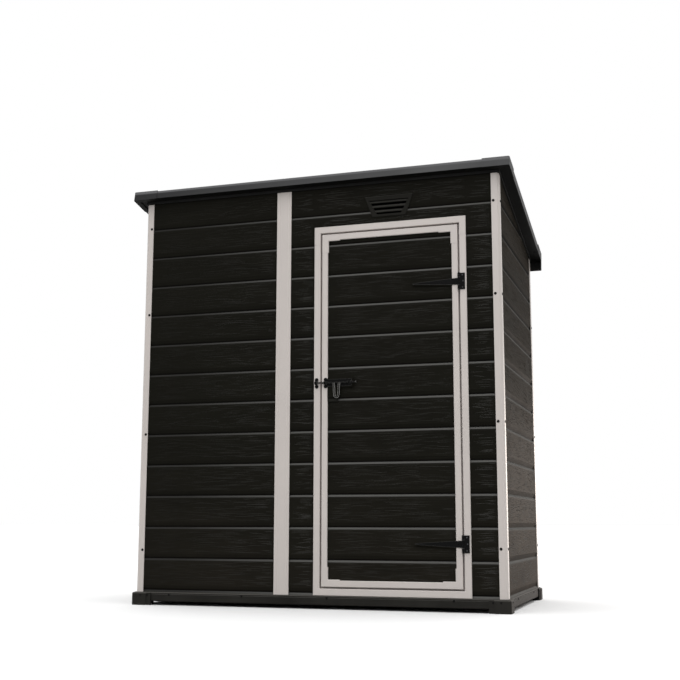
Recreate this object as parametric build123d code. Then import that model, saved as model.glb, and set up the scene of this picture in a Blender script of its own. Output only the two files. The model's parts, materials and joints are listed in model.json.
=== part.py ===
from build123d import *
import math
import os

# Pent shed of moulded resin, in millimetres.
# X runs right along the front, Y runs from the front to the back, Z runs up.
# The origin is on the ground, in the middle of the roof's outline seen from above.

# Body
body_width = 1818
body_depth = 1000
wall_thickness = 18
joint_x = -156

# Boards, moulded into the wall and door panels
board_pitch = 150
first_lap_height = 72
lap_depth = 6
lap_bevel_height = 9
lap_shadow_height = 22

# Base frame and floor
foot_height = 18
base_top = 62
rail_width = 30
rail_overhang = 6
rail_bevel = 5
rail_lower_bevel = 4
rail_groove_height = 36
rail_groove_depth = 2.5
floor_top = 60
block_leg = 100
block_wall = 9
block_top = 60
block_bevel = 5
block_sleeve_length = 24
block_sleeve_step = 3

# White posts
post_wall = 3
post_flange = 38
post_bevel = 10
joint_post_width = 74
joint_post_web = 8
joint_post_inner_width = 50
joint_post_groove = 1
joint_post_groove_offset = 24
joint_post_groove_width = 6

# Roof, built flat and then laid to its fall
roof_side_overhang = 56
roof_end_overhang = 45.5
roof_above_frame = 256
roof_fall_angle = 11.3
roof_edge_height = 42.5
roof_trim_wall = 3
roof_trim_round = 4
roof_corner_round = 6
roof_trim_top_lip = 28
roof_trim_bottom_lip = 18
back_fascia_height = 94
roof_seat_depth = 14
roof_seat_width = 34
roof_seat_overhang = 4
roof_rib_pitch = 160
roof_rib_width = 26
roof_rib_height = 2.5
roof_joint_strip_width = 60
roof_beam_width = 30
roof_beam_height = 40
roof_beam_wall = 2
roof_cap_leg = 128
roof_cap_wall = 2
roof_cap_lip = 24
roof_cap_slack = 1

# Door frame
frame_width = 745
frame_top = 1813
frame_face_width = 31.5
frame_face_thickness = 6
frame_liner = 4
frame_inner_face_width = 20
frame_corner_leg = 88
corner_proud = 1
face_bevel = 2
door_stop_width = 16
door_stop_thickness = 4
door_stop_joint = 0.3

# Door
door_gap = 8
door_panel_thickness = 14
trim_face_width = 29
trim_edge_wall = 3
trim_back_width = 20
trim_back_thickness = 3
trim_corner_leg = 90
trim_corner_step = 4

# Hinges
hinge_upper_height = 1500
hinge_lower_height = 299
hinge_plate_height = 78
hinge_plate_width = 29
hinge_leaf_thickness = 3
hinge_barrel_radius = 5.5
hinge_pin_radius = 2.8
hinge_pin_clearance = 0.3
hinge_knuckle_height = 36
hinge_knuckle_gap = 0.5
hinge_turning_gap = 0.7
hinge_pin_head = 3
strap_length = 220
strap_root_height = 33
strap_tip_height = 6
strap_pad_margin = 5

# Latch
latch_height = 1048
bolt_radius = 4.5
bolt_length = 188
bolt_stand_off = 8
bolt_tip_gap = 2
bolt_guide_clearance = 0.6
keeper_clearance = 2
latch_plate_thickness = 2.5
latch_plate_inset = 11
latch_plate_length = 138
latch_plate_height = 34
latch_plate_corner = 4
guide_wall = 2.5
guide_width = 12
second_guide_offset = 120
keeper_inset = 8
lobe_radius = 9
lobe_spacing = 32
handle_offset = 73.5
handle_top_width = 35
handle_tip_width = 29
handle_thickness = 6
handle_drop = 74
handle_rim = 9
handle_root = 3
handle_fillet = 6
latch_pad_margin = 6
handle_pad_drop = 89
handle_pad_width = 52

# Vent
vent_offset = 2
vent_above_frame = 29.5
vent_height = 102
vent_top_width = 240
vent_bottom_width = 164
vent_face_thickness = 5
vent_side_rim = 22
vent_top_rim = 20
vent_bottom_rim = 12
vent_blades = 3
vent_blade_thickness = 3.5
vent_blade_reach = 9
vent_blade_drop = 11
vent_blade_inset = 1
vent_sleeve_share = 0.8

# Planes and ranges that several pieces share
front = -body_depth / 2
wall_face = front + post_wall
wall_back = wall_face + wall_thickness
side_face = body_width / 2 - post_wall
side_back = side_face - wall_thickness
panel_end = side_face - post_bevel
rail_face = front - rail_overhang
rail_back = rail_face + rail_width
rail_side_face = body_width / 2 + rail_overhang
rail_side_back = rail_side_face - rail_width
joint_edges = (joint_x - joint_post_web / 2, joint_x + joint_post_web / 2)

# The vent is over the door, which stands midway between the joint post and the right corner post
vent_low = frame_top + vent_above_frame
frame_center = (joint_x + joint_post_width / 2 + body_width / 2 - post_flange) / 2
vent_center_x = frame_center + vent_offset
frame_x = (frame_center - frame_width / 2, frame_center + frame_width / 2)
frame_z = (base_top, frame_top)
doorway_x = (frame_x[0] + frame_face_width, frame_x[1] - frame_face_width)
doorway_z = (frame_z[0] + frame_face_width, frame_z[1] - frame_face_width)
wall_gap_x = (doorway_x[0] - frame_liner, doorway_x[1] + frame_liner)
wall_gap_top = doorway_z[1] + frame_liner
frame_face = wall_face - frame_face_thickness
frame_back = wall_back + frame_liner

door_x = (doorway_x[0] + door_gap, doorway_x[1] - door_gap)
door_z = (doorway_z[0] + door_gap, doorway_z[1] - door_gap)
door_panel_back = wall_face + door_panel_thickness
trim_back = door_panel_back + trim_back_thickness

hinge_heights = (hinge_upper_height, hinge_lower_height)
hinge_axis_x = (door_x[1] + doorway_x[1]) / 2
hinge_axis_y = frame_face - hinge_barrel_radius
bolt_axis_y = frame_face - latch_plate_thickness - bolt_stand_off
keeper_center = doorway_x[0] - keeper_inset - lobe_radius
bolt_tip_x = keeper_center + lobe_radius + bolt_tip_gap
latch_x = door_x[0] + latch_plate_inset

# The roof reaches as far beyond the walls at the front as at the back
roof_front_height = frame_top + roof_above_frame
roof_width = body_width + 2 * roof_side_overhang
roof_reach = body_depth / 2 + roof_end_overhang
fall = math.radians(roof_fall_angle)
roof_cap_drop = (roof_edge_height + roof_cap_wall) * math.sin(fall)
roof_front_y = roof_cap_drop + roof_cap_wall * math.cos(fall) - roof_reach
roof_length = (roof_reach - roof_cap_wall * math.sin(fall) - roof_front_y) / math.cos(fall) - roof_cap_wall
roof_place = Pos(0, roof_front_y, roof_front_height) * Rot(-roof_fall_angle, 0, 0)
roof_panel_top = -roof_trim_wall
roof_panel_bottom = roof_trim_wall - roof_edge_height
roof_seat = roof_panel_bottom - roof_seat_depth
tallest = roof_front_height + roof_edge_height


def slab(x, y, z):
    """A box between two values of x, of y and of z."""
    size = (x[1] - x[0], y[1] - y[0], z[1] - z[0])
    return Pos((x[0] + x[1]) / 2, (y[0] + y[1]) / 2, (z[0] + z[1]) / 2) * Box(*size)


def prism(points, plane, low, high):
    """A bar whose section is drawn on the plane and runs along its normal from low to high."""
    section = plane * make_face(Polyline(*points, close=True))
    bar = extrude(section, high - low, dir=plane.z_dir)
    return Pos(plane.z_dir * low) * bar


def rod(start, length, radius, axis):
    """A round bar from a point along an axis."""
    plane = Plane(origin=start, z_dir=axis)
    return plane * extrude(Circle(radius), length)


def grown(pair, amount):
    """A range of values made larger at both ends."""
    return (pair[0] - amount, pair[1] + amount)


def ring(x, z, width, y):
    """An upright rectangular ring of the given face width, seen along Y."""
    return slab(x, y, z) - slab(grown(x, -width), grown(y, 1), grown(z, -width))


def faced_ring(x, z, width, y):
    """A ring with bevelled edges on its outer face."""
    band = ring(x, z, width, y)
    outer_edges = band.edges().filter_by_position(Axis.Y, y[0] - 0.1, y[0] + 0.1)
    return chamfer(outer_edges, face_bevel)


def corner_zones(x, z, leg, y):
    """Four boxes over the corners of an upright rectangle."""
    zones = Part()
    for low_x in (x[0], x[1] - leg):
        for low_z in (z[0], z[1] - leg):
            zones += slab((low_x, low_x + leg), y, (low_z, low_z + leg))
    return zones


def boarded_panel(x, z, thickness):
    """A panel with lapped boards, its outer face on y = 0 and turned towards -Y."""
    lowest = math.floor((z[0] - first_lap_height) / board_pitch)
    highest = math.ceil((z[1] - first_lap_height) / board_pitch)
    points = []
    for index in range(lowest, highest):
        lap = first_lap_height + index * board_pitch
        points += [(lap_depth, lap), (0, lap + lap_shadow_height)]
        points += [(0, lap + board_pitch - lap_bevel_height)]
    top = first_lap_height + highest * board_pitch
    points += [(lap_depth, top), (thickness, top), (thickness, points[0][1])]
    panel = prism(points, Plane.YZ, x[0], x[1])
    return panel & slab(x, (-1, thickness + 1), z)


def under_roof(shape):
    """Cuts a wall or post off along the seats of the roof."""
    above = slab((-roof_width, roof_width), (-roof_width, 2 * roof_length), (roof_seat, tallest))
    return shape - roof_place * above


def roof_distance(y, height):
    """How far down the roof a vertical plane at y meets a level of the flat roof."""
    return (y - roof_front_y - height * math.sin(fall)) / math.cos(fall)


# Base


def base_rail(length, face):
    """A rail along X, its outer side towards -Y at y = face, bevelled and with a groove along it."""
    groove = foot_height + rail_groove_height
    points = [
        (face + rail_lower_bevel, foot_height),
        (face, foot_height + rail_lower_bevel),
        (face, groove - rail_groove_depth),
        (face + rail_groove_depth, groove),
        (face, groove + rail_groove_depth),
        (face, base_top - rail_bevel),
        (face + rail_bevel, base_top),
        (face + rail_width, base_top),
        (face + rail_width, foot_height),
    ]
    return prism(points, Plane.YZ, -length / 2, length / 2)


def base_block(side_x, side_y):
    """A corner block that wraps the rails on the outside and carries them on its sole."""
    outer = (rail_side_face + block_wall, -rail_face + block_wall)
    inner = (outer[0] - block_leg, outer[1] - block_leg)
    block = slab((inner[0], outer[0]), (inner[1], outer[1]), (0, block_top))
    upright = block.edges().filter_by(Axis.Z).sort_by(Axis.X)[-2:].sort_by(Axis.Y)[-1]
    upper = block.faces().sort_by(Axis.Z)[-1].edges()
    block = chamfer([upright, upper.sort_by(Axis.X)[-1], upper.sort_by(Axis.Y)[-1]], block_bevel)
    sleeve = (inner[0] + block_sleeve_length, inner[1] + block_sleeve_length)
    step = (outer[0] - block_sleeve_step, outer[1] - block_sleeve_step)
    block -= slab((inner[0], sleeve[0]), (step[1], outer[1]), (0, block_top))
    block -= slab((step[0], outer[0]), (inner[1], sleeve[1]), (0, block_top))
    block -= slab((0, rail_side_face), (0, -rail_face), (foot_height, base_top))
    block -= slab((0, rail_side_back), (0, -rail_back), (-1, base_top))
    if side_x < 0:
        block = mirror(block, Plane.YZ)
    if side_y < 0:
        block = mirror(block, Plane.XZ)
    return block


def floor_panel(x):
    return slab(x, (rail_back, -rail_back), (foot_height, floor_top))


# Walls and posts


def front_panel(x, z=(base_top, tallest)):
    return under_roof(Pos(0, wall_face, 0) * boarded_panel(x, z, wall_thickness))


def back_panel(x):
    turned = boarded_panel((-x[1], -x[0]), (base_top, tallest), wall_thickness)
    return under_roof(Pos(0, -wall_face, 0) * Rot(0, 0, 180) * turned)


def side_panel(side):
    panel = boarded_panel((wall_back, -wall_back), (base_top, tallest), wall_thickness)
    return under_roof(Pos(side * side_face, 0, 0) * Rot(0, 0, side * 90) * panel)


def corner_post(side_x, side_y):
    """An angle with a bevelled corner, filled behind it where the two wall panels end."""
    panel_side = post_wall + post_bevel
    panel_depth = post_wall + wall_thickness
    points = [
        (post_bevel, 0),
        (post_flange, 0),
        (post_flange, post_wall),
        (panel_side, post_wall),
        (panel_side, panel_depth),
        (post_wall, panel_depth),
        (post_wall, post_flange),
        (0, post_flange),
        (0, post_bevel),
    ]
    placed = [(side_x * (body_width / 2 - a), side_y * (body_depth / 2 - b)) for a, b in points]
    return under_roof(prism(placed, Plane.XY, base_top, tallest))


def joint_post(side_y):
    """An H section that clips two wall panels together, with two shallow grooves in its face."""
    web = joint_post_web / 2
    outer = joint_post_width / 2
    inner = joint_post_inner_width / 2
    panel_depth = post_wall + wall_thickness
    half = [(0, 0)]
    groove = joint_post_groove_offset
    half += [(groove - joint_post_groove_width / 2, 0), (groove, joint_post_groove)]
    half += [(groove + joint_post_groove_width / 2, 0)]
    half += [(outer, 0), (outer, post_wall), (web, post_wall), (web, panel_depth)]
    half += [(inner, panel_depth), (inner, panel_depth + post_wall), (0, panel_depth + post_wall)]
    points = half + [(-a, b) for a, b in reversed(half[1:-1])]
    placed = [(joint_x + a, side_y * (body_depth / 2 - b)) for a, b in points]
    return under_roof(prism(placed, Plane.XY, base_top, tallest))


# Vent over the door


def vent_prism(rim, y):
    """The vent's outline, wider at its top, less a share of its rim, as a bar along Y."""
    low = vent_low + rim * vent_bottom_rim
    high = vent_low + vent_height - rim * vent_top_rim
    bottom = vent_bottom_width / 2 - rim * vent_side_rim
    top = vent_top_width / 2 - rim * vent_side_rim
    outline = [(-bottom, low), (bottom, low), (top, high), (-top, high)]
    return Pos(vent_center_x, 0, 0) * prism(outline, Plane.XZ, -y[1], -y[0])


def vent_louvre():
    """A rim on the wall, a sleeve through it, and hoods that slope out and down over open slots."""
    face = wall_face - vent_face_thickness
    rim = vent_prism(0, (face, wall_face))
    rim = chamfer(rim.edges().filter_by_position(Axis.Y, face - 0.1, face + 0.1), face_bevel)
    sleeve = vent_prism(vent_sleeve_share, (wall_face, wall_back))
    hollow = vent_prism(1, (face - 1, wall_back + 1))
    body = rim + sleeve - hollow
    window_low = vent_low + vent_bottom_rim
    pitch = (vent_height - vent_bottom_rim - vent_top_rim) / vent_blades
    outer = face + vent_blade_inset
    inner = outer + vent_blade_reach
    hoods = Part()
    for index in range(vent_blades):
        top = window_low + (index + 1) * pitch
        lip = top - vent_blade_drop
        points = [
            (outer, lip - vent_blade_thickness),
            (outer, lip),
            (inner, top),
            (inner + vent_blade_thickness, top),
            (inner + vent_blade_thickness, top - vent_blade_thickness),
            (outer + vent_blade_thickness, lip - vent_blade_thickness),
        ]
        hoods += prism(points, Plane.YZ, vent_center_x - vent_top_width, vent_center_x + vent_top_width)
    filling = vent_prism((1 + vent_sleeve_share) / 2, (face, wall_back))
    return body + (hoods & filling)


# Door frame


def frame_ring(face):
    """The whole frame: outer face, liner through the wall, inner face and filled threshold."""
    whole = faced_ring(frame_x, frame_z, frame_face_width, (face, wall_face))
    liner_x = grown(doorway_x, frame_liner)
    liner_z = grown(doorway_z, frame_liner)
    whole += ring(liner_x, liner_z, frame_liner, (wall_face, frame_back))
    inner_x = grown(liner_x, frame_inner_face_width)
    inner_z = grown(liner_z, frame_inner_face_width)
    whole += ring(inner_x, inner_z, frame_inner_face_width, (wall_back, frame_back))
    whole += slab(liner_x, (wall_face, wall_back), (base_top, liner_z[0]))
    return whole


def door_stops():
    """Four bars on the frame's inner face, behind the door and standing clear of it."""
    y = (frame_back, frame_back + door_stop_thickness)
    outer_x = grown(doorway_x, frame_liner)
    outer_z = grown(doorway_z, frame_liner)
    inner_x = grown(doorway_x, -door_stop_width)
    inner_z = grown(doorway_z, -door_stop_width)
    between = grown(inner_x, -door_stop_joint)
    return [
        slab((outer_x[0], inner_x[0]), y, outer_z),
        slab((inner_x[1], outer_x[1]), y, outer_z),
        slab(between, y, (outer_z[0], inner_z[0])),
        slab(between, y, (inner_z[1], outer_z[1])),
    ]


# Door


def trim_ring(face, face_width):
    """The door's trim: a face, an edge round the panel and a narrower back."""
    whole = faced_ring(door_x, door_z, face_width, (face, wall_face))
    whole += ring(door_x, door_z, trim_edge_wall, (wall_face, trim_back))
    whole += ring(door_x, door_z, trim_back_width, (door_panel_back, trim_back))
    return whole


def strap_outline(height, margin):
    """A strap's tapered outline with a round tip, on the XZ plane."""
    root = strap_root_height / 2 + margin
    tip = strap_tip_height / 2 + margin
    tip_x = hinge_axis_x - strap_length + strap_tip_height / 2
    lines = Polyline((tip_x, height - tip), (hinge_axis_x, height - root))
    lines += Polyline((hinge_axis_x, height - root), (hinge_axis_x, height + root))
    lines += Polyline((hinge_axis_x, height + root), (tip_x, height + tip))
    lines += ThreePointArc((tip_x, height + tip), (tip_x - tip, height), (tip_x, height - tip))
    return make_face(lines)


def strap_plate(height, margin, y):
    outline = Plane.XZ * strap_outline(height, margin)
    return Pos(0, y[1], 0) * extrude(outline, y[1] - y[0], dir=(0, -1, 0))


def door_panel():
    """The boarded leaf, with flat pads level with the trim under the straps and the latch."""
    x = grown(door_x, -trim_edge_wall)
    z = grown(door_z, -trim_edge_wall)
    panel = Pos(0, wall_face, 0) * boarded_panel(x, z, door_panel_thickness)
    pad_y = (frame_face, wall_face + lap_depth)
    inside = slab(grown(door_x, -trim_face_width), pad_y, grown(door_z, -trim_face_width))
    for height in hinge_heights:
        panel += strap_plate(height, strap_pad_margin, pad_y) & inside
    latch_end = latch_x + latch_plate_length + latch_pad_margin
    half = latch_plate_height / 2 + latch_pad_margin
    pad = slab((door_x[0], latch_end), pad_y, (latch_height - half, latch_height + half))
    handle_end = door_x[0] + trim_face_width + handle_pad_width
    pad += slab((door_x[0], handle_end), pad_y, (latch_height - handle_pad_drop, latch_height))
    panel += pad & inside
    return panel


# Hinges


def knuckle(height, low, high, radius):
    return rod((hinge_axis_x, hinge_axis_y, height + low), high - low, radius, (0, 0, 1))


def hinge_plate(height):
    """The plate on the jamb with its two outer knuckles and the pin."""
    half = hinge_plate_height / 2
    inner = hinge_knuckle_height / 2 + hinge_knuckle_gap
    leaf_y = (frame_face - hinge_leaf_thickness, frame_face)
    leaf = slab((hinge_axis_x, hinge_axis_x + hinge_plate_width), leaf_y, (height - half, height + half))
    leaf += knuckle(height, -half, half, hinge_barrel_radius)
    swept = knuckle(height, -inner, inner, hinge_barrel_radius + hinge_turning_gap)
    leaf -= swept
    pin = knuckle(height, -half - hinge_pin_head, half + hinge_pin_head, hinge_pin_radius)
    return leaf + pin


def hinge_strap(height):
    """The long strap on the door with its middle knuckle, bored for the pin."""
    strap = strap_plate(height, 0, (frame_face - hinge_leaf_thickness, frame_face))
    half = hinge_knuckle_height / 2
    strap += knuckle(height, -half, half, hinge_barrel_radius)
    return strap - knuckle(height, -half, half, hinge_pin_radius + hinge_pin_clearance)


# Latch


def lobed_plate(middle):
    """A narrow upright plate with a round lobe for a screw at each end."""
    y = (frame_face - latch_plate_thickness, frame_face)
    half = lobe_spacing / 2
    plate = slab(grown((middle, middle), guide_width / 2), y, (latch_height - half, latch_height + half))
    for height in (latch_height - half, latch_height + half):
        plate += rod((middle, y[0], height), latch_plate_thickness, lobe_radius, (0, 1, 0))
    return plate


def guide(middle, bore):
    """A bridge over the bolt: a round nose on a block, bored through along X."""
    x = grown((middle, middle), guide_width / 2)
    radius = bore + guide_wall
    start = (x[0], bolt_axis_y, latch_height)
    plate_face = frame_face - latch_plate_thickness
    nose = rod(start, guide_width, radius, (1, 0, 0))
    legs = slab(x, (bolt_axis_y, plate_face), (latch_height - radius, latch_height + radius))
    return nose + legs - rod(start, guide_width, bore, (1, 0, 0))


def latch_keeper():
    return lobed_plate(keeper_center) + guide(keeper_center, bolt_radius + keeper_clearance)


def latch_plate():
    """A long plate with a lobed end at the jamb side, and two guides for the bolt."""
    y = (frame_face - latch_plate_thickness, frame_face)
    first = latch_x + lobe_radius
    half = latch_plate_height / 2
    plate = slab((first, latch_x + latch_plate_length), y, (latch_height - half, latch_height + half))
    far_corners = plate.edges().filter_by(Axis.Y).sort_by(Axis.X)[-2:]
    plate = fillet(far_corners, latch_plate_corner) + lobed_plate(first)
    for middle in (first, first + second_guide_offset):
        plate += guide(middle, bolt_radius + bolt_guide_clearance)
    return plate


def handle_outline(inset):
    """The handle's tapered outline with a round end, drawn in by an inset, on the XZ plane."""
    middle = bolt_tip_x + handle_offset + handle_top_width / 2
    top = handle_top_width / 2 - inset
    tip = handle_tip_width / 2 - inset
    low = latch_height - handle_drop + handle_tip_width / 2
    lines = Polyline((middle - tip, low), (middle - top, latch_height), (middle + top, latch_height))
    lines += Polyline((middle + top, latch_height), (middle + tip, low))
    lines += ThreePointArc((middle + tip, low), (middle, low - tip), (middle - tip, low))
    return make_face(lines)


def latch_bolt():
    """The round bolt with a flat slotted handle below it, faired into the bolt at both sides."""
    bolt = rod((bolt_tip_x, bolt_axis_y, latch_height), bolt_length, bolt_radius, (1, 0, 0))
    middle = bolt_tip_x + handle_offset + handle_top_width / 2
    root = Rectangle(handle_top_width + 4 * handle_fillet, 2 * handle_root)
    outline = handle_outline(0) + Pos(middle, latch_height) * root
    near = grown((middle, middle), handle_top_width / 2)
    inner = outline.vertices().filter_by_position(Axis.X, *near).sort_by(Axis.Y)[2:4]
    outline = fillet(inner, handle_fillet) - handle_outline(handle_rim)
    y = grown((bolt_axis_y, bolt_axis_y), handle_thickness / 2)
    handle = Pos(0, y[1], 0) * extrude(Plane.XZ * outline, handle_thickness, dir=(0, -1, 0))
    return bolt + handle


# Roof, drawn flat with its front top edge on the origin


def trim_section(height):
    """A channel that grips a roof edge, as (in from the edge, level) points."""
    wall = roof_trim_wall
    bottom = -roof_edge_height
    points = [(0, 0), (roof_trim_top_lip, 0), (roof_trim_top_lip, -wall), (wall, -wall)]
    points += [(wall, bottom + wall), (roof_trim_bottom_lip, bottom + wall)]
    points += [(roof_trim_bottom_lip, bottom)]
    if height > roof_edge_height:
        points += [(wall, bottom), (wall, -height)]
    points += [(0, -height)]
    return points


def rounded_trim(bar, axis, edge):
    """Rounds the outer top edge of a roof trim."""
    lengthways = bar.edges().filter_by(axis).filter_by_position(Axis.Z, -0.1, 0.1)
    outer = lengthways.filter_by_position(edge[0], edge[1] - 0.1, edge[1] + 0.1)
    return fillet(outer, roof_trim_round)


def roof_column(margin, corner_round):
    """The roof's outline seen from above, with round corners, grown by a margin."""
    outline = RectangleRounded(roof_width + 2 * margin, roof_length + 2 * margin, corner_round)
    return Pos(0, roof_length / 2, -tallest / 2) * extrude(outline, tallest)


def fascia_front():
    bar = prism(trim_section(roof_edge_height), Plane.YZ, -roof_width / 2, roof_width / 2)
    return roof_place * (rounded_trim(bar, Axis.X, (Axis.Y, 0)) & roof_column(0, roof_corner_round))


def fascia_back():
    points = [(roof_length - a, b) for a, b in trim_section(back_fascia_height)]
    bar = prism(points, Plane.YZ, -roof_width / 2, roof_width / 2)
    bar = rounded_trim(bar, Axis.X, (Axis.Y, roof_length))
    return roof_place * (bar & roof_column(0, roof_corner_round))


def verge(side):
    edge = side * roof_width / 2
    points = [(edge - side * a, b) for a, b in trim_section(roof_edge_height)]
    bar = prism(points, Plane.XZ, roof_trim_top_lip - roof_length, -roof_trim_top_lip)
    return roof_place * rounded_trim(bar, Axis.Y, (Axis.X, edge))


def roof_panel(x):
    """A roof panel with low ribs down its slope and a stepped rim below that seats on the walls."""
    outer = roof_width / 2 - roof_trim_wall
    y = (roof_trim_wall, roof_length - roof_trim_wall)
    panel = slab((-outer, outer), y, (roof_panel_bottom, roof_panel_top))
    seat_x = body_width / 2 + roof_seat_overhang
    seat_front = roof_distance(front - roof_seat_overhang, roof_seat)
    seat_back = roof_distance(-front + roof_seat_overhang, roof_seat)
    rim = slab((-seat_x, seat_x), (seat_front, seat_back), (roof_seat, roof_panel_bottom))
    rim -= slab(
        grown((-seat_x, seat_x), -roof_seat_width),
        grown((seat_front, seat_back), -roof_seat_width),
        (roof_seat, roof_panel_bottom),
    )
    panel += rim
    rib_y = grown((0, roof_length), -roof_trim_top_lip)
    count = math.floor((outer - roof_trim_top_lip) / roof_rib_pitch)
    for index in range(-count, count + 1):
        middle = joint_x + index * roof_rib_pitch
        if index and abs(middle) < outer - roof_trim_top_lip - roof_rib_width:
            rib_x = grown((middle, middle), roof_rib_width / 2)
            panel += slab(rib_x, rib_y, (roof_panel_top, roof_panel_top + roof_rib_height))
    return roof_place * (panel & slab(x, (0, roof_length), (roof_seat - 1, 1)))


def roof_joint_strip():
    x = grown((joint_x, joint_x), roof_joint_strip_width / 2)
    return roof_place * slab(x, grown((0, roof_length), -roof_trim_top_lip), (roof_panel_top, 0))


def roof_beam():
    """A rectangular tube under the roof's joint, between the front and back rims."""
    low = roof_distance(front - roof_seat_overhang, roof_seat) + roof_seat_width
    high = roof_distance(-front + roof_seat_overhang, roof_seat) - roof_seat_width
    x = grown((joint_x, joint_x), roof_beam_width / 2)
    z = (roof_panel_bottom - roof_beam_height, roof_panel_bottom)
    tube = slab(x, (low, high), z)
    tube -= slab(grown(x, -roof_beam_wall), (low - 1, high + 1), grown(z, -roof_beam_wall))
    return roof_place * tube


def roof_cap(side, back):
    """A corner cap that covers the ends of a fascia and a verge."""
    edge = roof_width / 2
    wall = roof_cap_wall
    height = back_fascia_height if back else roof_edge_height
    x = (edge - roof_cap_leg, edge + wall)
    y = (-wall, roof_cap_leg)
    cavity = roof_column(0, roof_corner_round - roof_cap_slack)
    cap = slab(x, y, (-roof_edge_height - wall, wall))
    cap -= slab((x[0] - 1, edge), (0, y[1] + 1), (-roof_edge_height, 0)) & cavity
    cap -= slab((x[0] - 1, edge - roof_cap_lip), (roof_cap_lip, y[1] + 1), (-height - wall, wall))
    if back:
        cap -= slab((x[0] - 1, edge), (0, roof_trim_wall), (-height, -roof_edge_height)) & cavity
        skirt = slab(x, (-wall, roof_cap_lip), (-height - wall, wall))
        skirt -= slab((x[0] - 1, edge), (0, y[1]), (-height - wall - 1, wall + 1)) & cavity
        cap += skirt
    cap &= roof_column(wall, roof_corner_round + wall)
    if back:
        cap = Pos(0, roof_length, 0) * mirror(cap, Plane.XZ)
    if side < 0:
        cap = mirror(cap, Plane.YZ)
    return roof_place * cap


def solids_of(*shapes):
    """Several separate solids of one node."""
    return Compound(children=[piece for shape in shapes for piece in shape.solids()])


pieces = {}
pieces["base_rail_front"] = base_rail(2 * rail_side_face, rail_face)
pieces["base_rail_back"] = Rot(0, 0, 180) * pieces["base_rail_front"]
side_rail = base_rail(-2 * rail_back, -rail_side_face)
pieces["base_rail_sides"] = solids_of(Rot(0, 0, -90) * side_rail, Rot(0, 0, 90) * side_rail)
pieces["base_blocks"] = solids_of(*[base_block(a, b) for a in (-1, 1) for b in (-1, 1)])
pieces["floor_left"] = floor_panel((-rail_side_back, joint_x))
pieces["floor_right"] = floor_panel((joint_x, rail_side_back))

pieces["front_wall_left"] = front_panel((-panel_end, joint_edges[0]))
pieces["front_wall_beside_latch"] = front_panel((joint_edges[1], wall_gap_x[0]))
pieces["front_wall_beside_hinge"] = front_panel((wall_gap_x[1], panel_end))
vent_hole = vent_prism(vent_sleeve_share, (wall_face - 1, wall_back + 1))
pieces["front_wall_over_door"] = front_panel(wall_gap_x, (wall_gap_top, tallest)) - vent_hole
pieces["back_wall_left"] = back_panel((-panel_end, joint_edges[0]))
pieces["back_wall_right"] = back_panel((joint_edges[1], panel_end))
pieces["side_wall_left"] = side_panel(-1)
pieces["side_wall_right"] = side_panel(1)
for name_y, side_y in (("front", -1), ("back", 1)):
    for name_x, side_x in (("left", -1), ("right", 1)):
        pieces[f"corner_post_{name_y}_{name_x}"] = corner_post(side_x, side_y)
pieces["front_joint_post"] = joint_post(-1)
pieces["back_joint_post"] = joint_post(1)
pieces["vent_louvre"] = vent_louvre()

frame_zones = corner_zones(frame_x, frame_z, frame_corner_leg, (rail_face, 0))
members = (frame_ring(frame_face) - frame_zones).solids()
by_x = members.sort_by(Axis.X)
by_z = members.sort_by(Axis.Z)
pieces["door_jamb_latch"] = by_x[0]
pieces["door_jamb_hinge"] = by_x[-1]
pieces["door_frame_sill"] = by_z[0]
pieces["door_frame_head"] = by_z[-1]
pieces["door_frame_corners"] = solids_of(frame_ring(frame_face - corner_proud) & frame_zones)
pieces["door_stops"] = solids_of(*door_stops())

trim_zones = corner_zones(door_x, door_z, trim_corner_leg, (rail_face, 0))
members = (trim_ring(frame_face, trim_face_width) - trim_zones).solids()
by_x = members.sort_by(Axis.X)
by_z = members.sort_by(Axis.Z)
pieces["door_stiles"] = solids_of(by_x[0], by_x[-1])
pieces["door_rails"] = solids_of(by_z[0], by_z[-1])
wide_ring = trim_ring(frame_face - corner_proud, trim_face_width + trim_corner_step)
pieces["door_trim_corners"] = solids_of(wide_ring & trim_zones)
pieces["door_panel"] = door_panel()

pieces["hinge_plates"] = solids_of(*[hinge_plate(height) for height in hinge_heights])
pieces["hinge_straps"] = solids_of(*[hinge_strap(height) for height in hinge_heights])
pieces["latch_keeper"] = latch_keeper()
pieces["latch_plate"] = latch_plate()
pieces["latch_bolt"] = latch_bolt()

pieces["roof_panel_left"] = roof_panel((-roof_width, joint_x))
pieces["roof_panel_right"] = roof_panel((joint_x, roof_width))
pieces["roof_joint_strip"] = roof_joint_strip()
pieces["roof_beam"] = roof_beam()
pieces["fascia_front"] = fascia_front()
pieces["fascia_back"] = fascia_back()
pieces["verge_left"] = verge(-1)
pieces["verge_right"] = verge(1)
pieces["roof_caps"] = solids_of(*[roof_cap(a, b) for a in (-1, 1) for b in (False, True)])

os.makedirs("parts", exist_ok=True)
for name, piece in pieces.items():
    export_step(piece, f"parts/{name}.step")
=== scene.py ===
import json
import math
import random

import bmesh
import bpy
from mathutils import Matrix, Vector


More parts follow.
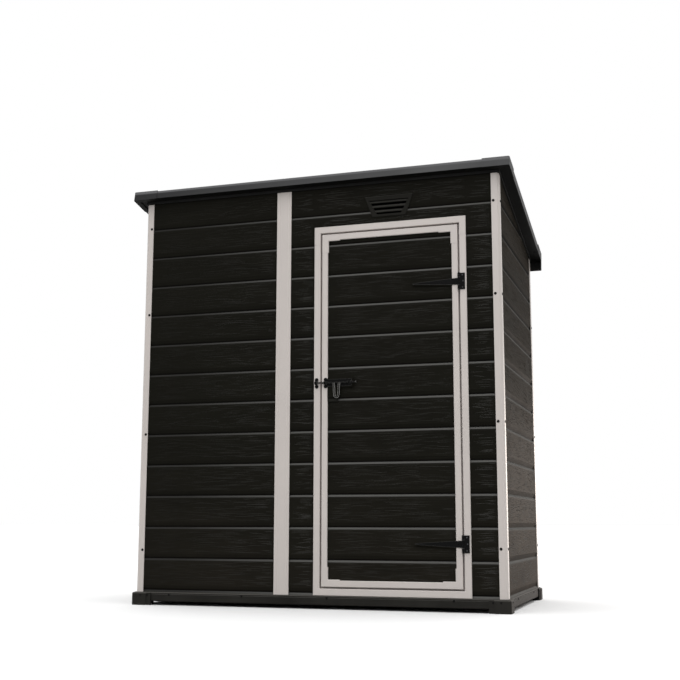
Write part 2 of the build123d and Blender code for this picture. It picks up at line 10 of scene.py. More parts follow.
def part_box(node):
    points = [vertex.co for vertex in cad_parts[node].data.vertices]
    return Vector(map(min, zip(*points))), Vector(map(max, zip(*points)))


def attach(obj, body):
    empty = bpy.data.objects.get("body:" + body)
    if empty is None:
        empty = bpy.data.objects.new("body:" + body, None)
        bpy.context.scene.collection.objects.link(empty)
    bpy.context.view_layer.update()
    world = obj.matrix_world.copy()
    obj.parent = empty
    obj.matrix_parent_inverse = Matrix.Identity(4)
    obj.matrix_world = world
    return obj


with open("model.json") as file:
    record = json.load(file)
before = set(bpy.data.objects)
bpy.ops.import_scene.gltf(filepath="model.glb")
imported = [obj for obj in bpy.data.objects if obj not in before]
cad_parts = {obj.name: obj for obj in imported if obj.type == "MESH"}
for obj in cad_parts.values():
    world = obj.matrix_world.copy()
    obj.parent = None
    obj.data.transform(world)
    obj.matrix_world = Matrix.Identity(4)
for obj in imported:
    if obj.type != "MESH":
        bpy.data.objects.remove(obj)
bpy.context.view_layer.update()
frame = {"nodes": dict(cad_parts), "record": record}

# Camera, solved from the photograph's lap lines, posts and door frame
CAMERA_PLACE = (1.70985, -5.4425, 0.3937)
CAMERA_PITCH = 0.16405
CAMERA_ROLL = -0.0010
CAMERA_TURN = 0.30865
FOCAL_PIXELS = 1103.5
IMAGE_PIXELS = 680
SENSOR_WIDTH = 36
FARTHEST_SEEN = 300

# Boards, as the wall and door panels have them
BOARD_PITCH = 0.150
FIRST_LAP = 0.072
BOARD_FLAT = (0.026, 0.138)

# The direction in which the front looks
FRONT = (0, -1, 0)


# Nodes

# Sockets of the Mix node for two colours and their blend
MIX_FIRST = 6
MIX_SECOND = 7
MIX_RESULT = 2

NOISE_ROUGHNESS = 0.55

# How alike softened and true normal are where a painted edge highlight begins and where it is at full
# strength
EDGE_HIGHLIGHT_LIMITS = (0.985, 0.88)
EDGE_HIGHLIGHT_SAMPLES = 6

# Painted shade on faces that look inwards: how far they look in, how level their normal is, and how strongly
# the painted shade counts
INWARD_LIMIT = -0.05
LEVEL_NORMAL = (0.6, 0.3)
INWARD_SHADE_SHARE = 0.85


class Nodes:
    """Short calls for the nodes of one material or world."""

    def __init__(self, owner, shader="Principled BSDF"):
        self.tree = owner.node_tree
        self.shader = self.tree.nodes[shader]

    def add(self, kind, inputs=None, **settings):
        """A new node. Its inputs, by name or number, are constants or outputs of other nodes."""
        node = self.tree.nodes.new(kind)
        for key, value in settings.items():
            setattr(node, key, value)
        for key, value in (inputs or {}).items():
            if isinstance(value, bpy.types.NodeSocket):
                self.tree.links.new(value, node.inputs[key])
            else:
                node.inputs[key].default_value = value
        return node

    def feed(self, socket, output):
        """Links an output to a socket of the shader."""
        self.tree.links.new(output, self.shader.inputs[socket])

    def place(self):
        """A point in the object's own coordinates, which move with the piece."""
        return self.add("ShaderNodeTexCoord").outputs["Object"]

    def stretched(self, vector, scale):
        """A vector times a scale for each axis."""
        return self.add("ShaderNodeMapping", {"Vector": vector, "Scale": scale}).outputs["Vector"]

    def noise(self, vector, scale, detail):
        inputs = {"Vector": vector, "Scale": scale, "Detail": detail, "Roughness": NOISE_ROUGHNESS}
        return self.add("ShaderNodeTexNoise", inputs).outputs["Fac"]

    def ramp(self, value, stops):
        """A colour that runs through stops, each of which is a value and a colour."""
        node = self.add("ShaderNodeValToRGB", {"Fac": value})
        elements = node.color_ramp.elements
        while len(elements) < len(stops):
            elements.new(0.5)  # any place, as each stop gets its own below
        for element, (position, color) in zip(elements, stops):
            element.position = position
            element.color = (*color, 1)
        return node.outputs["Color"]

    def math(self, operation, first, second=0.0):
        return self.add("ShaderNodeMath", {0: first, 1: second}, operation=operation).outputs["Value"]

    def dot(self, first, second):
        node = self.add("ShaderNodeVectorMath", {0: first, 1: second}, operation="DOT_PRODUCT")
        return node.outputs["Value"]

    def mixed(self, factor, *colors):
        """A blend of two colours, each a triple or an output."""
        first, second = ((*color, 1) if isinstance(color, tuple) else color for color in colors)
        inputs = {"Factor": factor, MIX_FIRST: first, MIX_SECOND: second}
        return self.add("ShaderNodeMix", inputs, data_type="RGBA").outputs[MIX_RESULT]

    def range(self, value, start, end, low=0.0, high=1.0):
        """Runs from low to high as a value runs from start to end."""
        inputs = {"Value": value, "From Min": start, "From Max": end, "To Min": low, "To Max": high}
        return self.add("ShaderNodeMapRange", inputs, clamp=True).outputs["Result"]

    def part(self, vector, axis):
        """One number of a vector."""
        return self.add("ShaderNodeSeparateXYZ", {"Vector": vector}).outputs[axis]

    def geometry(self, output):
        return self.add("ShaderNodeNewGeometry").outputs[output]

    def height(self):
        """How high a point is, in metres over the ground."""
        return self.part(self.geometry("Position"), "Z")

    def facing(self, start, end):
        """A share from 0 to 1 as the upward part of a face's normal runs from start to end."""
        return self.range(self.part(self.geometry("True Normal"), "Z"), start, end)

    def edge_highlight_mask(self, reach):
        """1 at sharp edges, fading out over a short reach: the mask of a painted edge highlight."""
        soft = self.add("ShaderNodeBevel", {"Radius": reach}, samples=EDGE_HIGHLIGHT_SAMPLES)
        return self.range(self.dot(soft.outputs["Normal"], self.geometry("True Normal")), *EDGE_HIGHLIGHT_LIMITS)

    def outward(self, place, normal):
        """How far a normal points away from the upright line through the shed's middle."""
        level = self.add("ShaderNodeVectorMath", {0: place, 1: (1, 1, 0)}, operation="MULTIPLY")
        return self.dot(level.outputs["Vector"], normal)

    def inward_shade(self):
        """Near 1 where an upright face looks at the shed's middle, and otherwise 0: the mask of a painted
        shade on inner faces.
        """
        away = self.outward(self.geometry("Position"), self.geometry("True Normal"))
        looks_in = self.math("LESS_THAN", away, INWARD_LIMIT)
        upright = self.math("MULTIPLY", looks_in, self.facing(*LEVEL_NORMAL))
        return self.math("MULTIPLY", upright, INWARD_SHADE_SHARE)

    def outer_side(self):
        """1 on faces that look away from the shed's middle, and otherwise 0. It moves with the piece."""
        normal = self.add("ShaderNodeTexCoord").outputs["Normal"]
        return self.math("GREATER_THAN", self.outward(self.place(), normal), 0.0)

    def bump(self, height, distance, strength):
        inputs = {"Height": height, "Distance": distance, "Strength": strength}
        self.feed("Normal", self.add("ShaderNodeBump", inputs).outputs["Normal"])


def principled(name, color, roughness, specular):
    """A material with plain constants on the shader's own sockets."""
    material = bpy.data.materials.new(name)
    material.use_nodes = True
    shader = material.node_tree.nodes["Principled BSDF"]
    shader.inputs["Base Color"].default_value = (*color, 1)
    shader.inputs["Roughness"].default_value = roughness
    shader.inputs["Specular IOR Level"].default_value = specular
    return material


# Material of the boards

BOARD_COLOR = (0.0090, 0.0086, 0.0065)
BOARD_ROUGHNESS = (0.42, 0.60)

# Fine streaks along the boards, drawn out by these scales, that rise and fall as they run
STREAK_SCALE = (5.0, 5.0, 260.0)
SWAY_SCALE = (1.6, 1.6, 5.0)
SWAY_RISE = 0.10
STREAK_BUMP = (0.0010, 0.4)

# Larger patches, the shares that streaks and patches have in the tone, and how bright each tone is
PATCH_SCALE = (3.0, 3.0, 9.0)
TONE_SHARES = (0.6, 0.4)
RESIN_TONES = ((0.32, 0.8), (0.55, 1.0), (0.74, 1.3))

# Where the pale tone at the foot is thickest, in metres over the ground: dust on the front, and a painted
# glow of light from the ground on the side walls
DUST_AND_GLOW_FOOT = 0.05

# Painted highlight on the ledges, which brightens from the left end to the door, and the upward slopes that
# count as a lit ledge
LEDGE_HIGHLIGHT_REACH = (-0.65, 0.05)
LEDGE_HIGHLIGHTS = ((0.024, 0.0235, 0.022), (0.082, 0.081, 0.077))
LIT_LEDGE_SLOPE = (0.25, 0.55)

# Painted shade in the gap at a board's foot, and the heights between which this painted shade changes
GAP_SHADE_COLOR = (0.0015, 0.0014, 0.0012)
SHADE_HEIGHTS = (0.6, 1.0)

# The shares of a board's height between which a painted highlight on its upper edge begins
SHOULDER_HIGHLIGHT = (0.89, 0.93)


def streak_pattern(nodes):
    """Fine pores between the raised grain."""
    place = nodes.place()
    sway = nodes.noise(nodes.stretched(place, SWAY_SCALE), scale=1.0, detail=2.0)
    lift = nodes.add("ShaderNodeCombineXYZ", {"Z": nodes.math("MULTIPLY", sway, SWAY_RISE)})
    inputs = {0: place, 1: lift.outputs["Vector"]}
    moved = nodes.add("ShaderNodeVectorMath", inputs, operation="ADD").outputs["Vector"]
    return nodes.noise(nodes.stretched(moved, STREAK_SCALE), scale=1.0, detail=5.0)


def resin_tone(nodes, streaks, patches):
    """The charcoal of the boards, darker and paler by streaks and patches."""
    parts = [nodes.math("MULTIPLY", value, share) for value, share in zip((streaks, patches), TONE_SHARES)]
    stops = [(place, tuple(gain * c for c in BOARD_COLOR)) for place, gain in RESIN_TONES]
    return nodes.ramp(nodes.math("ADD", *parts), stops)


def lap_shade_and_highlights(nodes, tone, gap_reach, gap_shade, shoulder_highlight):
    """Paints shade on each board's foot, in the gap over the board below, and paints highlights on its upper
    edge and ledge.
    """
    rise = nodes.math("DIVIDE", nodes.math("SUBTRACT", nodes.height(), FIRST_LAP), BOARD_PITCH)
    level = nodes.math("FRACT", rise)
    # The painted shade in the gap is stronger or weaker with height
    shade = nodes.range(nodes.height(), *SHADE_HEIGHTS, *gap_shade)
    gap = nodes.math("MULTIPLY", nodes.range(level, *gap_reach, 1.0, 0.0), shade)
    shaded = nodes.mixed(gap, tone, GAP_SHADE_COLOR)
    # Painted highlight on the upward-facing ledges, brighter from the left end to the door
    ledge_highlight = nodes.mixed(nodes.range(nodes.part(nodes.place(), "X"), *LEDGE_HIGHLIGHT_REACH), *LEDGE_HIGHLIGHTS)
    # Painted highlight along each board's upper edge
    edge = nodes.range(level, *SHOULDER_HIGHLIGHT, 0.0, shoulder_highlight)
    return nodes.mixed(nodes.math("MAXIMUM", nodes.facing(*LIT_LEDGE_SLOPE), edge), shaded, ledge_highlight)


def board_material(name, specular, dust_and_glow, dust_and_glow_shares, dust_and_glow_height, gap_reach, gap_shade, shoulder_highlight):
    """Charcoal resin, plain on its inner side. On its outer side it turns paler towards the foot, with dust
    on the front and a painted glow of light from the ground on the side walls, and it has painted shade in
    the lap gaps and painted highlights on ledges and upper edges.

    The pale tone starts at dust_and_glow_height and thickens downwards, by dust_and_glow_shares. The gap's
    painted shade fades over the shares gap_reach of a board's height. It has the strengths gap_shade on the
    lowest and on the higher boards, and shoulder_highlight is how pale the painted highlight on an upper
    edge gets.
    """
    material = principled(name, BOARD_COLOR, roughness=0.5, specular=specular)
    nodes = Nodes(material)
    streaks = streak_pattern(nodes)
    patches = nodes.noise(nodes.stretched(nodes.place(), PATCH_SCALE), scale=1.0, detail=3.0)
    resin = resin_tone(nodes, streaks, patches)
    dust_and_glow_share = nodes.range(nodes.height(), dust_and_glow_height, DUST_AND_GLOW_FOOT, *dust_and_glow_shares)
    resin_with_dust_and_glow = nodes.mixed(nodes.math("MULTIPLY", dust_and_glow_share, patches), resin, dust_and_glow)
    outer = lap_shade_and_highlights(nodes, resin_with_dust_and_glow, gap_reach, gap_shade, shoulder_highlight)
    nodes.feed("Base Color", nodes.mixed(nodes.outer_side(), resin, outer))
    nodes.feed("Roughness", nodes.range(patches, 0.0, 1.0, *BOARD_ROUGHNESS))
    nodes.bump(streaks, *STREAK_BUMP)
    return material


# Material of everything else

# Soft clouds in the tone and the roughness
CLOUD_SCALE = 3.0
CLOUD_RANGE = (0.35, 0.65)
CLOUD_ROUGHNESS = (-0.05, 0.06)
SPECKLE_BUMP = (0.0002, 0.5)

# Slopes that count as facing up, for a painted highlight, and as facing down, for a painted shade
LIT_TOP_SLOPE = (0.35, 0.8)
UNDER_SLOPE = (-0.5, -0.9)

# Painted shade towards the left end, and how softly the painted highlight on the top edge of the roof trim
# begins
LEFT_SHADE_REACH = (0.6, -0.9)
HIGHLIGHT_EDGE_BLUR = 0.006


def speckled(name, color, roughness, grain=240.0, spread=0.12, specular=0.5, left=None, top=None, edge=None,
             under_shade=None, edge_highlight=None, reach=0.0025):
    """Moulded resin or powder coating with a fine texture.

    The other colours are optional: left is a painted shade towards the left end, top a painted highlight on
    faces that look up and on any face over the height edge, under_shade a painted shade on faces that look
    down or inwards, and edge_highlight a painted highlight along edges, spread over a reach.
    """
    material = principled(name, color, roughness, specular)
    nodes = Nodes(material)
    place = nodes.place()
    cloud = nodes.noise(place, CLOUD_SCALE, detail=4.0)
    tones = [tuple(c * share for c in color) for share in (1 - spread, 1 + spread)]
    tone = nodes.ramp(cloud, list(zip(CLOUD_RANGE, tones)))
    # Painted shade towards the left end
    if left:
        tone = nodes.mixed(nodes.range(nodes.part(place, "X"), *LEFT_SHADE_REACH), tone, left)
    # Painted highlight on faces that look up
    if top:
        pale = nodes.facing(*LIT_TOP_SLOPE)
        # The painted highlight also covers every face over the height edge
        if edge:
            pale = nodes.math("MAXIMUM", pale, nodes.range(nodes.height(), edge - HIGHLIGHT_EDGE_BLUR, edge))
        tone = nodes.mixed(pale, tone, top)
    # Painted shade on faces that look down or inwards
    if under_shade:
        tone = nodes.mixed(nodes.math("MAXIMUM", nodes.facing(*UNDER_SLOPE), nodes.inward_shade()), tone, under_shade)
    # Painted highlight along sharp edges
    if edge_highlight:
        tone = nodes.mixed(nodes.edge_highlight_mask(reach), tone, edge_highlight)
    nodes.feed("Base Color", tone)
    roughnesses = [roughness + change for change in CLOUD_ROUGHNESS]
    nodes.feed("Roughness", nodes.range(cloud, 0.0, 1.0, *roughnesses))
    nodes.bump(nodes.noise(place, grain, detail=2.0), *SPECKLE_BUMP)
    return material


# Materials of the CAD nodes

WHITE = (0.55, 0.505, 0.48)
BLACK = (0.0028, 0.0028, 0.0028)
# The top band of the front fascia, which carries a painted highlight
FASCIA_HIGHLIGHT_DEPTH = 0.009
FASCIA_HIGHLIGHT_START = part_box("fascia_front")[1][2] - FASCIA_HIGHLIGHT_DEPTH
MATERIALS = {
    # Dust towards the foot, painted shade in the lap gaps and painted highlights on ledges and upper edges
    "boards": board_material(
        "charcoal_boards", specular=0.02, dust_and_glow=(0.026, 0.022, 0.017), dust_and_glow_shares=(0.0, 0.5),
        dust_and_glow_height=0.75, gap_reach=(0.02, 0.075), gap_shade=(0.8, 0.8), shoulder_highlight=0.12),
    "white_trim": speckled("warm_white_trim", WHITE, roughness=0.42, spread=0.03),
    # Painted highlight on faces that look up, and painted shade on faces that look down or inwards
    "base": speckled(
        "dusty_base", (0.020, 0.019, 0.017), roughness=0.6, spread=0.3, specular=0.05,
        top=(0.060, 0.057, 0.052), under_shade=(0.006, 0.006, 0.006)),
    "floor": speckled("floor_grey", (0.030, 0.030, 0.029), roughness=0.6),
    # Painted highlight on the blades' upward faces
    "vent": speckled(
        "vent_charcoal", (0.0135, 0.0130, 0.0110), roughness=0.5, specular=0.04,
        top=(0.045, 0.044, 0.040)),
    # Painted highlight along sharp edges
    "ironmongery": speckled(
        "black_powder_coat", BLACK, roughness=0.35, grain=600.0, specular=0.06,
        edge_highlight=(0.075, 0.074, 0.070)),
    "steel_beam": speckled("beam_grey", (0.30, 0.30, 0.30), roughness=0.4),
    # Painted shade towards the left end and on faces that look down or inwards, and painted highlight on
    # faces that look up and along the fascia's top edge
    "roof_trim": speckled(
        "roof_trim_grey", (0.074, 0.0745, 0.076), roughness=0.5, specular=0.03,
        left=(0.029, 0.0292, 0.030), top=(0.12, 0.12, 0.124), edge=FASCIA_HIGHLIGHT_START,
        under_shade=(0.0045, 0.0045, 0.0042)),
    # Painted shade on faces that look down or inwards
    "roof": speckled(
        "roof_grey", (0.022, 0.022, 0.022), roughness=0.55, specular=0.04,
        under_shade=(0.0042, 0.0042, 0.0038)),
}
# Side boards: their pale tone towards the foot is a painted glow of light from the ground, their lap gaps
# carry a painted shade that is stronger higher up, and their upper edges carry a strong painted highlight
SIDE_BOARDS = board_material(
    "charcoal_side_boards", specular=0.003, dust_and_glow=(0.13, 0.106, 0.088), dust_and_glow_shares=(0.23, 0.95),
    dust_and_glow_height=0.95, gap_reach=(0.05, 0.13), gap_shade=(0.2, 0.95), shoulder_highlight=0.8)
# A stronger painted highlight along the bolt's edges
HIGHLIT_BOLT = speckled(
    "highlit_bolt", BLACK, roughness=0.35, grain=600.0, specular=0.06, edge_highlight=(0.34, 0.335, 0.32),
    reach=0.0045)

own_material = {"side_wall_left": SIDE_BOARDS, "side_wall_right": SIDE_BOARDS, "latch_bolt": HIGHLIT_BOLT}
slot_of = {entry["node"]: entry["material_slot"] for entry in frame["record"]["subparts"]}
for node, obj in frame["nodes"].items():
    obj.data.materials.clear()
    obj.data.materials.append(own_material.get(node) or MATERIALS[slot_of[node]])


# Making and placing pieces

SHARP_ANGLE = math.radians(35)


def new_object(name, mesh_code, material):
    """Turns a bmesh into an object of one material."""
    mesh = bpy.data.meshes.new(name)
    mesh_code.to_mesh(mesh)
    mesh_code.free()
    mesh.materials.append(material)
    made = bpy.data.objects.new(name, mesh)
    bpy.context.scene.collection.objects.link(made)
    return made


def add_piece(name, mesh_code, material, body):
    """Adds a smooth piece that rides on a body."""
    piece = new_object(name, mesh_code, material)
    piece.data.shade_smooth()
    piece.data.set_sharp_from_angle(angle=SHARP_ANGLE)
    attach(piece, body)


# Raised wood grain

# Sizes of its lines, the steps in which they are drawn and the shortest of them in points
GRAIN_SPACING = 0.0056
GRAIN_HALF_WIDTH = (0.0008, 0.0016)
GRAIN_HEIGHT = (0.0003, 0.0006)
GRAIN_LENGTH = (0.04, 0.22)
GRAIN_GAP = (0.015, 0.14)
GRAIN_START = 0.1
GRAIN_STEP = 0.014
GRAIN_SINK = 0.0003
GRAIN_SHORTEST = 3
GRAIN_SEED = 11

# Grain keeps inside a board's flat, and some lines begin outside it, so that their bends fill it
GRAIN_MARGIN = 0.003
GRAIN_OUTSIDE = 0.01

# How far grain stays from posts, frame, vent and base, from the frame's sides, and from the roof
GRAIN_CLEARANCE = 0.004
FRAME_CLEARANCE = 0.002
ROOF_CLEARANCE = 0.012
SLOPE_CLEARANCE = 0.006

# A height over the highest board
GRAIN_TOP = 2.1

# Where a line lies in its own space, how blunt a ridge's end is and how soon it reaches full height
GRAIN_STRAY = (0.2, 0.8)
RIDGE_END = 0.35
RIDGE_SWELL = 0.6

# The grain's height on the sides, on the door and on the other walls, as a share
SIDE_RELIEF = 2.0
DOOR_RELIEF = 0.5
WALL_RELIEF = 0.9

# Knots and arches: one for each length of board, more or less, and the ranges of their sizes
COUNT_CHANGE = (-0.5, 0.7)
KNOT_SPACING = 0.75
KNOT_RISE = 0.035
KNOT_PUSH = (0.004, 0.011)
KNOT_REACH = (0.03, 0.08)
KNOT_SPREAD = (0.010, 0.022)
ARCH_SPACING = 0.6
ARCH_RISE = (0.008, 0.022)
ARCH_REACH = (0.05, 0.16)
ARCH_SHARE = (0.3, 0.7)
ARCH_POWER = 3

# The slow wave along a board: its size, its turn for each metre, its start and its change with height
WAVE_SIZE = (0.001, 0.003)
WAVE_TURN = (4, 9)
WAVE_START = (0, 6.3)
WAVE_LEAN = 8


class Wall:
    """One boarded face: where it stands and which way it looks, with a place for (along, height, out)."""

    def __init__(self, name, node, body, side, span, top):
        low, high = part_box(node)
        self.name = name
        self.body = body
        self.side = side
        self.span = span
        self.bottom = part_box("base_rail_front")[1][2] + GRAIN_CLEARANCE
        self.top = top
        self.keep_off = []
        self.along_y = side in ("left", "right")
        self.material = SIDE_BOARDS if self.along_y else MATERIALS["boards"]
        self.relief = SIDE_RELIEF if self.along_y else DOOR_RELIEF if body == "door" else WALL_RELIEF
        self.flip = side in ("back", "left")
        self.face = {"front": low[1], "back": high[1], "left": low[0], "right": high[0]}[side]

    def point(self, along, height, out):
        """A place on the face or out from it."""
        if self.side in ("front", "left"):
            out = -out
        return (self.face + out, along, height) if self.along_y else (along, self.face + out, height)

    def free(self, along, height):
        """Whether grain may run here, clear of edges, base, roof and whatever is fixed on the face."""
        if not self.span[0] <= along <= self.span[1] or not self.bottom <= height <= self.top(along):
            return False
        return not any(a[0] < along < a[1] and b[0] < height < b[1] for a, b in self.keep_off)


def board_figure(rng, span):
    """The bends of one board's grain: knots that it parts round, arches and a slow wave."""
    length = span[1] - span[0]
    middle = BOARD_PITCH / 2
    knots = []
    for _ in range(max(1, round(length / KNOT_SPACING + rng.uniform(*COUNT_CHANGE)))):
        knots.append((rng.uniform(*span), middle + rng.uniform(-KNOT_RISE, KNOT_RISE),
                      rng.uniform(*KNOT_PUSH), rng.uniform(*KNOT_REACH), rng.uniform(*KNOT_SPREAD)))
    arches = []
    for _ in range(max(1, round(length / ARCH_SPACING + rng.uniform(*COUNT_CHANGE)))):
        arches.append((rng.uniform(*span), rng.choice((-1, 1)) * rng.uniform(*ARCH_RISE),
                       rng.uniform(*ARCH_REACH), rng.uniform(*ARCH_SHARE)))
    size, turn, start = (rng.uniform(*limits) for limits in (WAVE_SIZE, WAVE_TURN, WAVE_START))

    def bend(along, level):
        shift = size * math.sin(turn * along + start + WAVE_LEAN * level)
        for place, center, push, reach, spread in knots:
            apart = level - center
            near = math.exp(-((along - place) / reach) ** 2)
            shift += math.copysign(push, apart) * near * math.exp(-abs(apart) / spread)
        for place, rise, reach, share in arches:
            near = math.exp(-((along - place) / reach) ** 2)
            off_middle = abs(level - middle) / (BOARD_PITCH * share)
            if off_middle < 1:
                shift += rise * near * (1 - off_middle) ** ARCH_POWER
        return level + shift

    return bend


def free_runs(wall, lap, bend, level, start, end):
    """The stretches of one grain line where nothing is in its way, each a list of (along, height)."""
    runs = [[]]
    place = start
    while place < end:
        above = bend(place, level)
        inside = BOARD_FLAT[0] + GRAIN_MARGIN < above < BOARD_FLAT[1] - GRAIN_MARGIN
        if inside and wall.free(place, lap + above):
            runs[-1].append((place, lap + above))
        else:
            runs.append([])
        place += GRAIN_STEP
    return [run for run in runs if len(run) >= GRAIN_SHORTEST]


def add_ridge(mesh_code, wall, line, half_width, height):
    """A low ridge along a line of (along, height) points that thins out at both ends."""
    rows = []
    last = len(line) - 1
    for index, (along, level) in enumerate(line):
        swell = math.sin(math.pi * (index + RIDGE_END) / (last + 2 * RIDGE_END)) ** RIDGE_SWELL
        wide = half_width * swell
        rows.append([
            mesh_code.verts.new(wall.point(along, level - wide, -GRAIN_SINK)),
            mesh_code.verts.new(wall.point(along, level, height * swell)),
            mesh_code.verts.new(wall.point(along, level + wide, -GRAIN_SINK)),
        ])
    for one, two in zip(rows, rows[1:]):
        for a, b in ((0, 1), (1, 2)):
            corners = (one[a], two[a], two[b], one[b])
            mesh_code.faces.new(corners if not wall.flip else tuple(reversed(corners)))


def add_grain(wall, seed):
    """All raised grain of one face as one piece."""
    rng = random.Random(seed)
    mesh_code = bmesh.new()
    lines = int((BOARD_FLAT[1] - BOARD_FLAT[0] + 2 * GRAIN_OUTSIDE) / GRAIN_SPACING)
    for board in range(math.ceil((GRAIN_TOP - FIRST_LAP) / BOARD_PITCH)):
        lap = FIRST_LAP + board * BOARD_PITCH
        bend = board_figure(rng, wall.span)
        for index in range(lines):
            level = BOARD_FLAT[0] - GRAIN_OUTSIDE + (index + rng.uniform(*GRAIN_STRAY)) * GRAIN_SPACING
            along = wall.span[0] + rng.uniform(0, GRAIN_START)
            while along < wall.span[1]:
                end = along + rng.uniform(*GRAIN_LENGTH)
                half_width = rng.uniform(*GRAIN_HALF_WIDTH)
                height = rng.uniform(*GRAIN_HEIGHT) * wall.relief
                for run in free_runs(wall, lap, bend, level, along, end):
                    add_ridge(mesh_code, wall, run, half_width, height)
                along = end + rng.uniform(*GRAIN_GAP)
    add_piece(wall.name, mesh_code, wall.material, wall.body)


# Walls that carry grain

# The door's trim, half a hinge knuckle, and the flat pads behind hinges, latch and the bolt's handle
TRIM_WIDTH = 0.029
TRIM_CLEARANCE = 0.006
KNUCKLE_HALF = 0.018
HINGE_PAD_HALF = 0.023
HINGE_PAD_CLEARANCE = 0.012
LATCH_PAD_CLEARANCE = 0.010
HANDLE_PAD_REACH = 0.089
HANDLE_PAD_DROP = 0.022


def grown(low, high, margin):
    """A range with a margin at both ends."""
    return (low - margin, high + margin)


front_low, front_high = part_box("front_wall_left")
back_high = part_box("back_wall_left")[1]
front_top = front_high[2] - ROOF_CLEARANCE
back_top = back_high[2] - ROOF_CLEARANCE
fall = (front_high[2] - back_high[2]) / (back_high[1] - front_low[1])

left_post_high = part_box("corner_post_front_left")[1]
right_post_low, right_post_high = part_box("corner_post_front_right")
left_edge = left_post_high[0] + GRAIN_CLEARANCE
right_edge = right_post_low[0] - GRAIN_CLEARANCE

straps_low, straps_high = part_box("hinge_straps")
plate_low, plate_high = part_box("latch_plate")


def side_top(along):
    """The height of a side wall's grain, which falls with the roof."""
    return front_top - fall * (along - front_low[1]) - SLOPE_CLEARANCE


def front_walls():
    """The four panels of the front, round the door frame and the vent."""
    joint_low, joint_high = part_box("front_joint_post")
    frame_low, frame_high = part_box("door_frame_corners")
    vent_low, vent_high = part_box("vent_louvre")
    spans = {
        "front_wall_left": (left_edge, joint_low[0] - GRAIN_CLEARANCE),
        "front_wall_beside_latch": (joint_high[0] + GRAIN_CLEARANCE, frame_low[0] - GRAIN_CLEARANCE),
        "front_wall_over_door": grown(frame_low[0], frame_high[0], GRAIN_CLEARANCE),
        "front_wall_beside_hinge": (frame_high[0] + GRAIN_CLEARANCE, right_edge),
    }
    frame_span = grown(frame_low[0], frame_high[0], FRAME_CLEARANCE)
    door_frame = (frame_span, (0.0, frame_high[2] + GRAIN_CLEARANCE))
    vent = tuple(grown(vent_low[axis], vent_high[axis], GRAIN_CLEARANCE) for axis in (0, 2))
    walls = []
    for node, span in spans.items():
        wall = Wall(f"grain_{node}", node, "root", "front", span, lambda along: front_top)
        wall.keep_off += [door_frame, vent]
        walls.append(wall)
    return walls


def back_walls():
    """The two panels of the back, beside its joint post."""
    post_low, post_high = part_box("back_joint_post")
    spans = {
        "back_wall_left": (left_edge, post_low[0] - GRAIN_CLEARANCE),
        "back_wall_right": (post_high[0] + GRAIN_CLEARANCE, right_edge),
    }
    return [Wall(f"grain_{node}", node, "root", "back", span, lambda along: back_top)
            for node, span in spans.items()]


def side_walls():
    """The left and the right wall, between their corner posts."""
    reach = right_post_high[1] + GRAIN_CLEARANCE
    return [Wall(f"grain_side_wall_{side}", f"side_wall_{side}", "root", side, (reach, -reach), side_top)
            for side in ("left", "right")]


def door_wall():
    """The door's boards, which lie in one plane with the front wall's."""
    rails_low, rails_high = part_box("door_rails")
    stiles_low, stiles_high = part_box("door_stiles")
    bolt_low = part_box("latch_bolt")[0]
    left, right = stiles_low[0], stiles_high[0]
    trim = TRIM_WIDTH + TRIM_CLEARANCE
    door = Wall("grain_door_panel", "front_wall_left", "door", "front", (left + trim, right - trim),
                lambda along: rails_high[2] - trim)
    door.keep_off.append(((left, right), (0.0, rails_low[2] + trim)))
    for middle in (straps_high[2] - KNUCKLE_HALF, straps_low[2] + KNUCKLE_HALF):
        pad = grown(middle, middle, HINGE_PAD_HALF)
        door.keep_off.append(((straps_low[0] - HINGE_PAD_CLEARANCE, right), pad))
    latch_pad = grown(plate_low[2], plate_high[2], LATCH_PAD_CLEARANCE)
    door.keep_off.append(((left, plate_high[0] + LATCH_PAD_CLEARANCE), latch_pad))
    handle_pad = (bolt_low[2] - HANDLE_PAD_DROP, plate_high[2])
    door.keep_off.append(((left, left + HANDLE_PAD_REACH), handle_pad))
    return door


for index, wall in enumerate([*front_walls(), *back_walls(), *side_walls(), door_wall()]):
    add_grain(wall, GRAIN_SEED + index)


# Screws

# Rings of a pan head as shares of its radius and heights, and its cross recess
SCREW_SIDES = 20
SCREW_PROFILE = ((1.0, -0.0008), (1.0, 0.0004), (0.94, 0.0011), (0.75, 0.0018), (0.45, 0.0022))
CROSS_REACH = (0.40, 0.34, 0.12, 0.12, 0.34)
CROSS_DEPTH = 0.0012

# How far the first screw of a piece is turned, and how much further each next one is
FIRST_SPIN = 0.3
NEXT_SPIN = 0.9

screw_black = speckled(
    "black_screw", (0.004, 0.004, 0.004), roughness=0.45, grain=800.0, specular=0.06)
screw_grey = speckled(
    "worn_screw", (0.050, 0.050, 0.052), roughness=0.40, grain=800.0, specular=0.2)


def placed(place, direction):
    """A matrix that moves +Z at the origin to a direction at a place."""
    turn = Vector((0, 0, 1)).rotation_difference(Vector(direction))
    return Matrix.Translation(place) @ turn.to_matrix().to_4x4()


